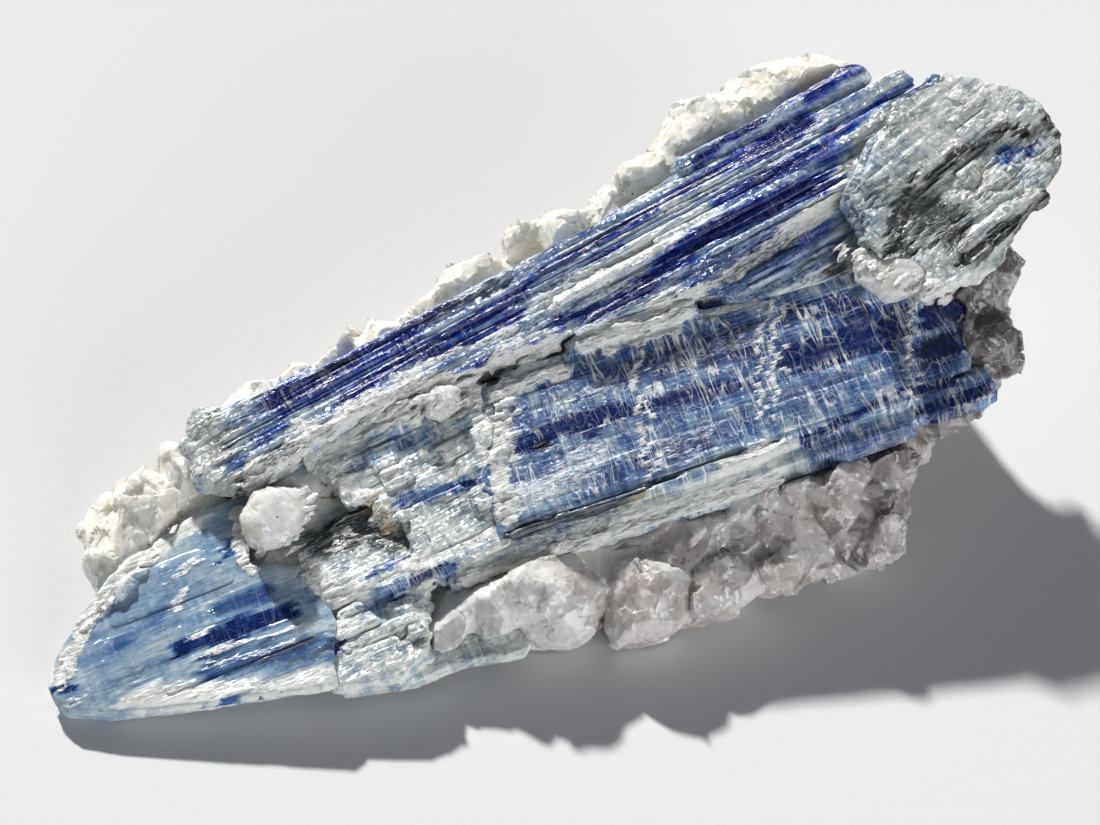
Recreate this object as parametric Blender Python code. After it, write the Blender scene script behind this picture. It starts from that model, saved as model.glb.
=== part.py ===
"""A kyanite blade cluster grown with quartz: a hand specimen 110 mm long, lying on its underside.

The long axis runs along +X and the specimen rises towards +X. Its best side slopes towards -Y.
Kyanite grows as flat blades that split lengthwise into narrow laths. Each group of blades here is a stack
of plates with laths on top, all in the group's own frame: x along the blades, y across them towards the
back and z out of the broad face. The quartz is a mass of angular chunks under the blades and around them.
Lengths below are in millimetres and angles in degrees, and MM turns them into Blender's metres.
"""

import math
import random

import bmesh
import bpy
from mathutils import Matrix, Vector

MM = 0.001

# The fit between two crystals, and how deep a lath is rooted in the plates below it.
CLEARANCE = 0.3
LATH_ROOT = 1.6
LATH_DRAFT = 0.25
PLATE_DRAFT = 0.15
PLATE_OVERLAP = 0.4
# How far a lower plate's edge may fall short of the plate above it or pass it.
PLATE_SPREAD = (-0.9, 0.5)
# How much laths side by side differ in width, where along its length each is broken, and how slanted its
# ends are.
LATH_SHARES = (0.6, 1.4)
LATH_SPLIT = (0.25, 0.75)
LATH_SLANT = (-0.8, 0.8)
BLUNT_SLANT = 0.6
# No quartz fills the space over a broad face, from this far below it to this far above.
BARE_DEPTH = 1.7
BARE_HEIGHT = 14.0
FLOOR_REACH = 200.0

# The thickness of each group's plates, from the broad face down.
BUNDLE_PLATES = (2.2, 2.4, 2.6)
STRIATED_PLATES = (2.8, 2.8)
BROAD_PLATES = (2.0, 2.2, 2.2)
BROAD_END_PLATES = (2.0, 2.2)
RIGHT_PLATES = (1.8, 2.2, 2.0)
LEFT_PLATES = (1.3, 1.4)
LEFT_UNDER_PLATES = (2.2, 2.4)
STEP_PLATES = (2.4, 2.6, 2.8)
LOW_STEP_PLATES = (1.6, 1.8)

# Each group's frame: where it stands, its heading about +Z, its rise and its tilt towards the front.
BUNDLE_FRAME = {"at": (-29.3, 11.5, 13.5), "heading": -1.5, "pitch": 12.2, "roll": 18.0}
STRIATED_FRAME = {"at": (-29.0, 12.0, 12.1), "heading": -1.5, "pitch": 12.2, "roll": 18.0}
BROAD_FRAME = {"at": (-5.0, 2.8, 14.8), "heading": -11.0, "pitch": 7.5, "roll": 16.0}
LEDGE_FRAME = {"at": (7.3, -15.7, 10.6), "heading": -11.0, "pitch": 7.5, "roll": 20.0}
RIGHT_FRAME = {"at": (34.6, -5.3, 23.7), "heading": 10.0, "pitch": 12.2, "roll": 16.0}
LEFT_FRAME = {"at": (-32.5, 5.2, 8.5), "heading": -8.0, "pitch": 9.5, "roll": 11.5}
STEP_FRAME = {"at": (-17.0, 5.2, 12.9), "heading": -4.0, "pitch": 11.0, "roll": 16.0}
LOW_STEP_FRAME = {"at": (-20.9, -7.2, 6.6), "heading": -4.0, "pitch": 6.0, "roll": 7.0}

# Outlines in their groups' frames, counter-clockwise.
BUNDLE_OUTLINE = [
    (-6.6, -4.4), (-3.5, -7.5), (3.4, -6.5), (11.5, -6.2), (20.0, -7.0), (31.5, -8.5), (45.0, -11.0),
    (53.5, -9.5), (62.5, -8.5), (69.5, -8.5), (73.5, -4.0), (71.0, 2.0), (58.0, 1.4), (40.0, 0.4),
    (23.0, -0.3), (7.0, 0.6), (-1.0, 1.2), (-4.2, 2.7), (-6.4, -0.5),
]
STRIATED_OUTLINE = [(43.0, -9.0), (50.5, -14.5), (59.5, -17.0), (66.5, -15.0), (69.5, -7.0), (58.0, -5.0)]
BROAD_OUTLINE = [
    (-5.5, -10.0), (-5.0, -16.2), (5.0, -16.5), (14.0, -17.0), (25.5, -16.5), (37.5, -16.1), (41.9, -6.0),
    (41.3, -4.0), (38.5, -2.0), (27.5, -0.5), (14.0, 0.6), (0.0, 0.2), (-2.5, -5.0),
]
BROAD_END_DROP = 1.3
BROAD_END_OUTLINE = [(30.0, -15.0), (38.4, -16.4), (44.0, -13.8), (46.5, -7.1), (41.5, -4.2), (30.0, -3.0)]
RIGHT_OUTLINE = [
    (-3.5, -4.5), (-1.0, -8.0), (4.0, -8.8), (9.0, -8.2), (14.0, -6.8), (18.5, -5.5), (21.0, -3.0),
    (21.8, 1.0), (20.5, 4.6), (17.0, 9.0), (14.0, 10.2), (5.0, 8.4), (-1.0, 5.0),
]
RIGHT_UPPER_OUTLINE = [
    (0.5, 5.2), (6.0, 1.5), (14.2, 1.4), (18.5, -0.7), (21.2, -0.6), (20.9, 3.4), (17.4, 8.3), (12.0, 9.4),
    (5.0, 7.8),
]
RIGHT_UPPER_HEIGHT = 1.2
LEFT_OUTLINE = [
    (-23.2, -11.5), (-22.2, -14.3), (-18.5, -16.2), (-9.7, -18.9), (1.5, -21.9), (3.9, -15.9), (2.7, -9.6),
    (-1.8, -6.9), (1.0, -0.3), (-3.5, 0.3), (-9.5, -1.4), (-14.3, -2.5), (-17.9, -5.2), (-21.3, -8.4),
]
# The plates it lies on, set back from its edges.
LEFT_UNDER_OUTLINE = [
    (-20.0, -11.5), (-17.5, -13.4), (-9.5, -16.0), (-0.5, -18.4), (0.6, -13.0), (-2.8, -8.5), (-3.5, -2.5),
    (-9.0, -3.5), (-14.0, -5.0), (-18.0, -8.5),
]
LEFT_UNDER_DEPTH = 1.9
STEP_OUTLINE = [
    (-8.7, 0.2), (-7.3, -4.0), (-7.1, -7.1), (-4.7, -7.7), (-4.2, -10.3), (-3.0, -10.9), (-3.4, -15.3),
    (-2.4, -17.6), (5.5, -17.8), (9.5, -12.0), (10.5, -2.0), (8.0, 1.5), (-1.0, 3.0), (-9.0, 3.2),
]
LOW_STEP_OUTLINE = [
    (-12.5, 4.5), (-11.6, 0.3), (-10.7, -5.0), (-10.7, -10.3), (-5.1, -12.1), (-1.7, -10.4), (-0.1, -6.2),
    (1.4, -2.4), (5.9, -0.2), (3.0, 6.2), (-8.0, 11.4),
]
# The plate under the low step, which runs on along the foot of the quartz.
FOOT_PLATE_OUTLINE = [
    (-9.0, -10.1), (-4.1, -11.9), (0.9, -12.0), (7.0, -13.6), (7.6, -10.4), (0.0, -6.3), (-9.0, -4.4),
]
FOOT_PLATE_TOP = -2.4
FOOT_PLATE_THICKNESS = 1.4
# What is seen of the ledge's upper side.
LEDGE_OUTLINE = [(-26.0, -2.8), (31.0, -2.8), (31.0, 3.0), (-26.0, 3.0)]
# A slab of the low step that lies one plate above it, at the back.
STEP_SLAB_OUTLINE = [
    (-9.5, 4.0), (-9.1, -1.3), (-3.1, -3.5), (1.4, -3.6), (5.9, 1.8), (3.0, 6.1), (-4.0, 5.9),
]
STEP_SLAB_HEIGHT = 1.5

# Single laths in their groups' frames: start, end, front side, width, height and the slant of the ends.
BUNDLE_LATHS = [
    (50.0, 73.0, 0.8, 1.6, 0.9), (55.0, 76.5, -2.2, 2.2, 0.5), (58.0, 79.0, -5.2, 2.4, 1.0),
    (32.0, 62.0, -6.2, 1.3, 1.5),
]
BROAD_LATH = (6.5, 21.5, -0.6, 2.4, 1.1, 1.6)
LEDGE_LATHS = [(-26.0, 8.0, -2.2, 4.0, 0.2), (-10.0, 22.0, -1.4, 3.4, 0.5), (8.0, 31.0, -0.8, 3.2, 0.2)]
LEFT_LATHS = [
    (-16.0, -3.0, -8.0, 4.6, 0.9, 2.4), (-20.5, -5.0, -13.4, 4.8, 0.5, 2.0), (-5.5, 1.6, -19.3, 2.6, 0.5),
    (-13.0, 2.2, -16.6, 2.8, 0.8),
]

# The quartz under the blades: a slab whose underside rises towards the high end, and chunks below it.
BODY_FRAME = {"at": (0.0, 0.0, 12.0), "heading": 0.0, "pitch": 11.0, "roll": 17.0}
BODY_OUTLINE = [
    (-33.0, 3.0), (-27.0, -4.5), (-16.0, -8.5), (-4.0, -10.5), (10.0, -12.5), (22.0, -14.0), (32.0, -13.0),
    (40.0, -9.0), (42.0, 3.0), (37.0, 11.0), (24.0, 12.0), (4.0, 12.0), (-16.0, 11.0), (-31.0, 11.0),
]
BODY_DEPTH = 10.0
BODY_FLARE = 1.5

# Quartz chunks: centre and size of each.
QUARTZ_UNDER = [
    ((6.0, -8.0, 5.2), 6.4), ((17.0, -10.0, 7.0), 8.0), ((27.0, -6.0, 10.0), 8.0),
    ((12.0, 3.0, 6.4), 7.6), ((23.0, 6.0, 9.6), 8.4), ((35.0, 3.0, 14.5), 7.0),
    ((-2.0, 4.0, 5.0), 6.4), ((-18.0, -5.0, 3.4), 6.0),
]
QUARTZ_FRONT = [
    ((-19.6, -14.0, 3.5), 3.6), ((-15.0, -15.2, 4.2), 4.4), ((-10.3, -16.7, 3.7), 5.4),
    ((-5.8, -19.2, 2.5), 5.1), ((-1.8, -20.4, 2.9), 5.6), ((2.4, -21.4, 3.3), 5.6),
    ((6.0, -22.2, 3.1), 4.6), ((-7.9, -14.6, 3.2), 4.5), ((-3.8, -15.6, 3.5), 4.6),
    ((0.8, -16.8, 3.8), 4.9), ((5.4, -18.2, 4.1), 5.0), ((9.0, -20.2, 4.2), 5.0),
]
QUARTZ_SMOKY = [
    ((12.2, -21.4, 2.9), 5.2), ((16.0, -22.6, 3.0), 5.4), ((18.8, -23.2, 2.2), 4.2),
    ((21.4, -23.6, 3.8), 4.4), ((23.6, -23.2, 5.4), 3.9), ((12.4, -18.4, 5.8), 5.1),
    ((16.4, -19.6, 6.4), 5.1), ((20.4, -20.6, 7.2), 5.0), ((24.6, -21.4, 8.1), 4.4),
    ((25.4, -20.7, 5.9), 5.2), ((28.2, -17.7, 8.1), 4.6),
]
QUARTZ_LOBE = [
    ((41.8, -11.6, 15.6), 5.0), ((44.2, -10.4, 17.6), 3.8), ((40.4, -15.0, 13.8), 4.8),
    ((37.6, -17.4, 12.0), 3.8), ((34.0, -18.6, 11.0), 3.6), ((37.6, -12.6, 13.4), 5.4),
    ((41.0, -5.0, 17.4), 6.0), ((44.0, -1.0, 20.2), 3.4),
]
QUARTZ_BACK = [
    ((18.6, 14.8, 18.8), 4.8), ((22.8, 15.6, 20.0), 5.2), ((27.7, 17.0, 21.0), 5.4),
    ((32.0, 17.4, 22.2), 5.4), ((35.6, 16.8, 23.6), 4.8), ((38.4, 14.6, 24.6), 4.0),
    ((39.6, 13.2, 26.2), 2.4), ((14.6, 14.4, 17.6), 4.2), ((9.0, 14.8, 16.2), 3.8),
    ((6.0, 16.2, 14.4), 3.8), ((1.7, 15.8, 13.6), 4.4), ((-2.0, 15.8, 12.4), 3.8),
    ((-6.6, 15.2, 11.2), 3.6), ((-11.5, 14.6, 11.0), 3.8), ((-16.5, 14.8, 10.4), 3.8),
    ((-21.5, 14.2, 10.2), 3.6), ((-26.0, 14.0, 9.8), 3.8), ((-30.5, 14.2, 9.2), 3.4),
    ((12.0, 16.0, 7.6), 7.4), ((23.0, 16.5, 10.6), 8.0), ((32.0, 14.5, 14.0), 7.0),
    ((1.0, 14.5, 6.6), 7.0), ((-9.5, 13.5, 5.8), 6.6), ((-20.0, 12.5, 5.4), 6.2),
    ((38.5, 9.0, 18.0), 5.5),
]
QUARTZ_LEFT = [
    ((-31.5, 9.0, 4.6), 6.2), ((-32.2, 2.2, 3.2), 4.8), ((-33.7, 12.0, 8.0), 4.4),
    ((-36.8, 11.0, 6.8), 4.4), ((-39.5, 10.8, 5.4), 4.2), ((-41.9, 12.0, 4.4), 3.6),
    ((-43.6, 13.2, 3.4), 3.0), ((-45.4, 11.4, 2.8), 3.0), ((-45.6, 8.2, 2.4), 2.8),
    ((-42.6, 8.0, 3.2), 4.0),
]
# Chunks that close the hollow beneath the ledge.
QUARTZ_BENEATH = [
    ((-8.6, -12.0, 3.0), 5.0), ((-4.6, -12.6, 3.4), 5.0), ((-16.0, -10.4, 2.6), 3.8),
    ((-12.4, -12.6, 3.0), 4.2), ((-3.0, -14.0, 3.8), 4.4), ((2.6, -15.6, 4.6), 4.4),
    ((8.6, -16.8, 5.2), 4.4),
]
FIRST_CHUNK_SEED = 60
CHUNK_CORNERS = 13
# How far a lump's corners lie from its ellipsoid, and how much a chunk's three radii differ.
CORNER_REACH = (0.92, 1.1)
CHUNK_STRETCH = (0.9, 1.15)

# Grains of cream quartz that sit on the blades: centre, radii and seed.
GRAINS = {
    "cream_grain_left": ((-29.8, 0.6, 9.0), (4.6, 4.4, 3.2), 81),
    "cream_grain_middle": ((-11.2, 2.6, 14.2), (2.6, 2.3, 1.8), 82),
    "cream_patch_right": ((33.6, -8.0, 20.6), (5.6, 3.6, 2.4), 83),
}


def frame_matrix(at, heading, pitch, roll):
    """The group's frame in the specimen's, in millimetres."""
    turn = Matrix.Rotation(math.radians(heading), 4, "Z")
    rise = Matrix.Rotation(math.radians(-pitch), 4, "Y")
    tilt = Matrix.Rotation(math.radians(roll), 4, "X")
    return Matrix.Translation(at) @ turn @ rise @ tilt


def offset_outline(outline, distance):
    """The counter-clockwise outline with every side moved outwards by distance."""
    points = [Vector(p) for p in outline]
    moved = []
    for before, here, after in zip(points[-1:] + points[:-1], points, points[1:] + points[:1]):
        first = (here - before).normalized()
        second = (after - here).normalized()
        outward = Vector((first.y + second.y, -first.x - second.x)).normalized()
        stretch = max(0.5, outward.dot(Vector((first.y, -first.x))))
        moved.append(here + outward * distance / stretch)
    return moved


class Shell:
    """One closed surface, kept as points and faces in the specimen's frame."""

    def __init__(self, points, faces):
        self.points = points
        self.faces = faces


def prism(matrix, outline, low, high, draft=0.0, grow=0.0):
    """The outline between two heights of its frame. draft narrows the top, and grow swells it all."""
    base = offset_outline(outline, grow)
    crown = offset_outline(outline, grow - draft)
    count = len(outline)
    points = [matrix @ Vector((p.x, p.y, low - grow)) for p in base]
    points += [matrix @ Vector((p.x, p.y, high + grow)) for p in crown]
    faces = [tuple(reversed(range(count))), tuple(range(count, 2 * count))]
    for i in range(count):
        j = (i + 1) % count
        faces.append((i, j, count + j, count + i))
    return Shell(points, faces)


def lump(centre, radii, seed):
    """An angular lump: the hull of points scattered over an ellipsoid."""
    rng = random.Random(seed)
    work = bmesh.new()
    for _ in range(CHUNK_CORNERS):
        way = Vector((rng.gauss(0, 1), rng.gauss(0, 1), rng.gauss(0, 1))).normalized()
        reach = rng.uniform(*CORNER_REACH)
        work.verts.new([c + w * r * reach for c, w, r in zip(centre, way, radii)])
    hull = bmesh.ops.convex_hull(work, input=work.verts)
    bmesh.ops.delete(work, geom=hull["geom_interior"], context="VERTS")
    bmesh.ops.recalc_face_normals(work, faces=work.faces)
    work.verts.index_update()
    shell = Shell([v.co.copy() for v in work.verts], [tuple(v.index for v in f.verts) for f in work.faces])
    work.free()
    return shell


def chunk(centre, size, seed):
    """A quartz chunk, a little longer one way than another."""
    rng = random.Random(seed)
    return lump(centre, [size * rng.uniform(*CHUNK_STRETCH) for _ in range(3)], seed)


def plates(matrix, outline, thicknesses, seed, grow=0.0):
    """Plates stacked below the broad face, each a little wider or narrower than the one above it."""
    rng = random.Random(seed)
    shells = []
    top = 0.0
    for number, thickness in enumerate(thicknesses):
        spread = rng.uniform(*PLATE_SPREAD) if number else 0.0
        shape = offset_outline(outline, spread)
        shells.append(prism(matrix, shape, top - thickness, top, PLATE_DRAFT, grow))
        top -= thickness - PLATE_OVERLAP
    return shells


def lath(matrix, start, end, side, width, height, slant=BLUNT_SLANT, grow=0.0):
    """One lath: start and end along the blade, and its front side and width across it."""
    outline = [(start, side), (end, side), (end - slant, side + width), (start + slant, side + width)]
    return prism(matrix, outline, -LATH_ROOT, height, LATH_DRAFT, grow)


def lath_field(matrix, across, along, count, heights, seed, grow=0.0, gap=3.0):
    """Laths side by side on a broad face, each of them broken once along its length.

    across and along are the strip they cover, and heights the least and most that one stands proud.
    """
    rng = random.Random(seed)
    shares = [rng.uniform(*LATH_SHARES) for _ in range(count)]
    scale = (across[1] - across[0]) / sum(shares)
    shells = []
    side = across[0]
    for share in shares:
        width = share * scale
        split = along[0] + (along[1] - along[0]) * rng.uniform(*LATH_SPLIT)
        spans = (
            (along[0] + rng.uniform(0, gap), split - rng.uniform(0, gap)),
            (split + rng.uniform(0, gap), along[1] - rng.uniform(0, gap)),
        )
        for start, end in spans:
            slant = rng.uniform(*LATH_SLANT)
            height = rng.uniform(*heights)
            shells.append(lath(matrix, start, end, side, width, height, slant, grow))
        side += width
    return shells


def long_bundle(grow=0.0):
    """The striated bundle along the upper edge, with three lath tips at its high end."""
    top = frame_matrix(**BUNDLE_FRAME)
    lower = frame_matrix(**STRIATED_FRAME)
    shells = plates(top, BUNDLE_OUTLINE, BUNDLE_PLATES, 11, grow)
    shells += lath_field(top, (-6.0, 0.4), (-4.0, 68.0), 8, (0.2, 1.0), 12, grow)
    shells += lath_field(top, (-9.4, -6.2), (32.0, 66.0), 4, (0.1, 0.8), 13, grow)
    shells += [lath(top, *size, grow=grow) for size in BUNDLE_LATHS]
    shells += plates(lower, STRIATED_OUTLINE, STRIATED_PLATES, 14, grow)
    shells += lath_field(lower, (-15.0, -9.0), (50.0, 66.0), 5, (0.15, 0.5), 15, grow, gap=1.5)
    return shells


def broad_blade(grow=0.0):
    """The wide cracked blade in the middle, its lower end and the ledge of thin laths along its front."""
    top = frame_matrix(**BROAD_FRAME)
    below = top @ Matrix.Translation((0.0, 0.0, -BROAD_END_DROP))
    ledge = frame_matrix(**LEDGE_FRAME)
    shells = plates(top, BROAD_OUTLINE, BROAD_PLATES, 21, grow)
    shells += plates(below, BROAD_END_OUTLINE, BROAD_END_PLATES, 23, grow)
    shells += lath_field(top, (-15.5, -0.8), (-3.0, 40.0), 6, (0.1, 0.45), 22, grow, gap=2.0)
    shells.append(lath(top, *BROAD_LATH, grow=grow))
    shells += [lath(ledge, *size, grow=grow) for size in LEDGE_LATHS]
    return shells


def right_blade(grow=0.0):
    """The pale blunt blade at the high end, one half of it a plate higher than the other."""
    top = frame_matrix(**RIGHT_FRAME)
    shells = plates(top, RIGHT_OUTLINE, RIGHT_PLATES, 31, grow)
    shells.append(prism(top, RIGHT_UPPER_OUTLINE, -LATH_ROOT, RIGHT_UPPER_HEIGHT, LATH_DRAFT, grow))
    shells += lath_field(top, (-7.6, 0.6), (3.0, 16.5), 5, (0.1, 0.8), 32, grow, gap=2.5)
    shells += lath_field(top, (2.4, 7.2), (5.0, 17.0), 3, (1.3, 1.8), 33, grow, gap=2.5)
    return shells


def left_blade(grow=0.0):
    """The glassy blade that tapers to the low end."""
    top = frame_matrix(**LEFT_FRAME)
    under = top @ Matrix.Translation((0.0, 0.0, -LEFT_UNDER_DEPTH))
    shells = plates(top, LEFT_OUTLINE, LEFT_PLATES, 41, grow)
    shells += plates(under, LEFT_UNDER_OUTLINE, LEFT_UNDER_PLATES, 42, grow)
    shells += [lath(top, *size, grow=grow) for size in LEFT_LATHS]
    return shells


def broken_blades(grow=0.0):
    """The pale broken steps between the left blade and the broad one."""
    top = frame_matrix(**STEP_FRAME)
    low = frame_matrix(**LOW_STEP_FRAME)
    shells = plates(top, STEP_OUTLINE, STEP_PLATES, 51, grow)
    shells += lath_field(top, (-14.0, 1.0), (-3.5, 8.5), 7, (0.2, 1.4), 252, grow, gap=2.5)
    shells += plates(low, LOW_STEP_OUTLINE, LOW_STEP_PLATES, 53, grow)
    shells.append(prism(low, STEP_SLAB_OUTLINE, -LATH_ROOT, STEP_SLAB_HEIGHT, LATH_DRAFT, grow))
    shells += lath_field(low, (-9.0, -1.0), (-9.5, -0.5), 5, (0.2, 1.1), 254, grow, gap=1.5)
    foot_bottom = FOOT_PLATE_TOP - FOOT_PLATE_THICKNESS
    shells.append(prism(low, FOOT_PLATE_OUTLINE, foot_bottom, FOOT_PLATE_TOP, PLATE_DRAFT, grow))
    return shells


KYANITE = {
    "broad_blade": broad_blade,
    "long_blade_bundle": long_bundle,
    "right_end_blade": right_blade,
    "left_end_blade": left_blade,
    "broken_step_blades": broken_blades,
}
BARE_FACES = [
    (BUNDLE_FRAME, BUNDLE_OUTLINE),
    (STRIATED_FRAME, STRIATED_OUTLINE),
    (BROAD_FRAME, BROAD_OUTLINE),
    (BROAD_FRAME, BROAD_END_OUTLINE),
    (LEDGE_FRAME, LEDGE_OUTLINE),
    (RIGHT_FRAME, RIGHT_OUTLINE),
    (LEFT_FRAME, LEFT_OUTLINE),
    (STEP_FRAME, STEP_OUTLINE),
    (LOW_STEP_FRAME, LOW_STEP_OUTLINE),
]


def air_over_blades():
    """The space above each broad face, which no quartz fills."""
    spaces = []
    for frame, outline in BARE_FACES:
        spaces.append(prism(frame_matrix(**frame), outline, -BARE_DEPTH, BARE_HEIGHT))
    return spaces


def floor_block():
    """Everything below the surface that the specimen rests on."""
    half = FLOOR_REACH / 2
    outline = [(-half, -half), (half, -half), (half, half), (-half, half)]
    return [prism(Matrix.Identity(4), outline, -half, 0.0)]


def solid(name, shell):
    """An object that holds one shell."""
    mesh = bpy.data.meshes.new(name)
    mesh.from_pydata([p * MM for p in shell.points], [], shell.faces)
    return bpy.data.objects.new(name, mesh)


def combined(thing, shells, operation):
    """Unites the object with all the shells, or cuts all of them out of it.

    The laths share side walls and many planes nearly meet. The exact solver leaves open edges there, and
    the manifold solver doesn't.
    """
    tools = bpy.data.collections.new("tools")
    for number, shell in enumerate(shells):
        tools.objects.link(solid("tool_%03d" % number, shell))
    modifier = thing.modifiers.new("fit", "BOOLEAN")
    modifier.operation = operation
    modifier.solver = "MANIFOLD"
    modifier.operand_type = "COLLECTION"
    modifier.collection = tools
    bpy.context.view_layer.update()
    view = bpy.context.evaluated_depsgraph_get()
    mesh = bpy.data.meshes.new_from_object(thing.evaluated_get(view))
    thing.modifiers.clear()
    thing.data = mesh
    for tool in list(tools.objects):
        bpy.data.objects.remove(tool)
    bpy.data.collections.remove(tools)


def bodies(work):
    """The separate bodies in a mesh, as lists of faces."""
    left = set(work.faces)
    found = []
    while left:
        body = [left.pop()]
        for face in body:
            for edge in face.edges:
                for other in edge.link_faces:
                    if other in left:
                        left.remove(other)
                        body.append(other)
        found.append(body)
    return found


def keep_largest(thing):
    """Drops the splinters that the cuts leave."""
    work = bmesh.new()
    work.from_mesh(thing.data)
    ranked = sorted(bodies(work), key=lambda body: sum(face.calc_area() for face in body))
    for body in ranked[:-1]:
        bmesh.ops.delete(work, geom=body, context="FACES")
    bmesh.ops.triangulate(work, faces=work.faces)
    work.to_mesh(thing.data)
    work.free()


def finish(name, color, roughness):
    """A plain material for one mineral."""
    material = bpy.data.materials.new(name)
    material.use_nodes = True
    shader = material.node_tree.nodes["Principled BSDF"]
    shader.inputs["Base Color"].default_value = (*color, 1.0)
    shader.inputs["Roughness"].default_value = roughness
    shader.inputs["Metallic"].default_value = 0.0
    return material


def crystal(name, shells, cutters, material):
    """One mineral body: the union of its shells, cut to fit what is already there and the floor."""
    thing = solid(name, shells[0])
    bpy.context.scene.collection.objects.link(thing)
    if len(shells) > 1:
        combined(thing, shells[1:], "UNION")
    combined(thing, cutters + floor_block(), "DIFFERENCE")
    keep_largest(thing)
    thing.data.materials.append(material)
    return thing


def centre_on_base(things):
    """Moves the specimen so that the origin is the middle of its bounding box's bottom."""
    points = [v.co for thing in things for v in thing.data.vertices]
    middle = [(min(p[i] for p in points) + max(p[i] for p in points)) / 2 for i in (0, 1)]
    shift = Matrix.Translation((-middle[0], -middle[1], 0.0))
    for thing in things:
        thing.data.transform(shift)


def build():
    for old in list(bpy.data.objects):
        bpy.data.objects.remove(old)
    blue = finish("kyanite", (0.20, 0.30, 0.48), 0.35)
    white = finish("quartz", (0.74, 0.71, 0.69), 0.4)
    cream = finish("cream_quartz", (0.80, 0.76, 0.66), 0.5)

    things = []
    taken = []
    for name, (centre, radii, seed) in GRAINS.items():
        things.append(crystal(name, [lump(centre, radii, seed)], [], cream))
        taken.append(lump(centre, [r + CLEARANCE for r in radii], seed))
    for name, shape in KYANITE.items():
        things.append(crystal(name, shape(), taken, blue))
        taken += shape(grow=CLEARANCE)
    chunks = QUARTZ_UNDER + QUARTZ_FRONT + QUARTZ_SMOKY + QUARTZ_LOBE + QUARTZ_BACK
    chunks = chunks + QUARTZ_LEFT + QUARTZ_BENEATH
    shells = [prism(frame_matrix(**BODY_FRAME), BODY_OUTLINE, -BODY_DEPTH, 0.0, -BODY_FLARE)]
    shells += [chunk(centre, size, FIRST_CHUNK_SEED + i) for i, (centre, size) in enumerate(chunks)]
    things.append(crystal("quartz_matrix", shells, taken + air_over_blades(), white))
    centre_on_base(things)


build()
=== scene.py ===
"""The looks of the kyanite blade cluster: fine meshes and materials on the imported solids.

Work inside a crystal is done in its own frame, in millimetres: u along the blade, v across it and w out of
its broad face. The frames are those of the solids' source.
"""

import math

import bmesh
import bpy
import numpy as np
from mathutils import Matrix, Vector
from mathutils.bvhtree import BVHTree


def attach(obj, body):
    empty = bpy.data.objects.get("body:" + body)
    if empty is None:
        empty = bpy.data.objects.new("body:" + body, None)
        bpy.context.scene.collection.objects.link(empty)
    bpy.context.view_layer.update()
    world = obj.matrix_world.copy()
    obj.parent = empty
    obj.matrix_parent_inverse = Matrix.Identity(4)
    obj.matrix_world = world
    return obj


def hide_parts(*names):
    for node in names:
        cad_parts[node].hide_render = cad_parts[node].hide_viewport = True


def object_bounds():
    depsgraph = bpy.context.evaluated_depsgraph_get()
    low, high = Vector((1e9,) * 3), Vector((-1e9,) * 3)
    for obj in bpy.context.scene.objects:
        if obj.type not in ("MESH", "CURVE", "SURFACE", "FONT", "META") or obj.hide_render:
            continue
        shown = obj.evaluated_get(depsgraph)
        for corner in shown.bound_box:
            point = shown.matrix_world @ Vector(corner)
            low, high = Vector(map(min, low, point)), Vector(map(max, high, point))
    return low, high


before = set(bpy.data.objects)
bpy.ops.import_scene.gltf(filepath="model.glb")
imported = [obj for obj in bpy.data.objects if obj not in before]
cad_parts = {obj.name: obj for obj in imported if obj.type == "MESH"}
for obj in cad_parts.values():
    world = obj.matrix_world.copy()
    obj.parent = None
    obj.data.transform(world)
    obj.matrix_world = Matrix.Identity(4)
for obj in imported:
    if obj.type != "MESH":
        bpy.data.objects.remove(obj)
CAD_BOX = [list(corner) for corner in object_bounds()]

MM = 0.001
# From the source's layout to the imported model, whose origin is the middle of its bottom.
LAYOUT_SHIFT = Vector((0.216, 1.800, 0.0))

# -------- the camera, in the layout's millimetres
PHOTO_WIDTH, PHOTO_HEIGHT = 1100, 825
VIEW_AZIMUTH, VIEW_ELEVATION, VIEW_DISTANCE = -28.0, 48.0, 250.0
LENS, SENSOR = 82.0, 36.0
TARGET = Vector((0.0, 0.0, 12.0))
TARGET_PIXEL = (558.0, 395.0)


def view_axes():
    """The camera's right, up and back directions."""
    azimuth = math.radians(VIEW_AZIMUTH)
    elevation = math.radians(VIEW_ELEVATION)
    back = Vector((
        math.sin(azimuth) * math.cos(elevation),
        -math.cos(azimuth) * math.cos(elevation),
        math.sin(elevation),
    ))
    right = Vector((math.cos(azimuth), math.sin(azimuth), 0.0))
    return right, back.cross(right), back


RIGHT, UP, BACK = view_axes()
EYE = TARGET + BACK * VIEW_DISTANCE


def pixel_ray(pixel):
    """The direction from the eye through a pixel of the 1100 by 825 picture."""
    focal = PHOTO_WIDTH * LENS / SENSOR
    across = (pixel[0] - TARGET_PIXEL[0]) / focal
    down = (pixel[1] - TARGET_PIXEL[1]) / focal
    return RIGHT * across - UP * down - BACK


# -------- the crystals' frames
def crystal_frame(at, heading, pitch, roll):
    """A crystal's own frame: where it stands, its heading about +Z, its rise and its tilt to the front."""
    turn = Matrix.Rotation(math.radians(heading), 4, "Z")
    rise = Matrix.Rotation(math.radians(-pitch), 4, "Y")
    tilt = Matrix.Rotation(math.radians(roll), 4, "X")
    return Matrix.Translation(at) @ turn @ rise @ tilt


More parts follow.
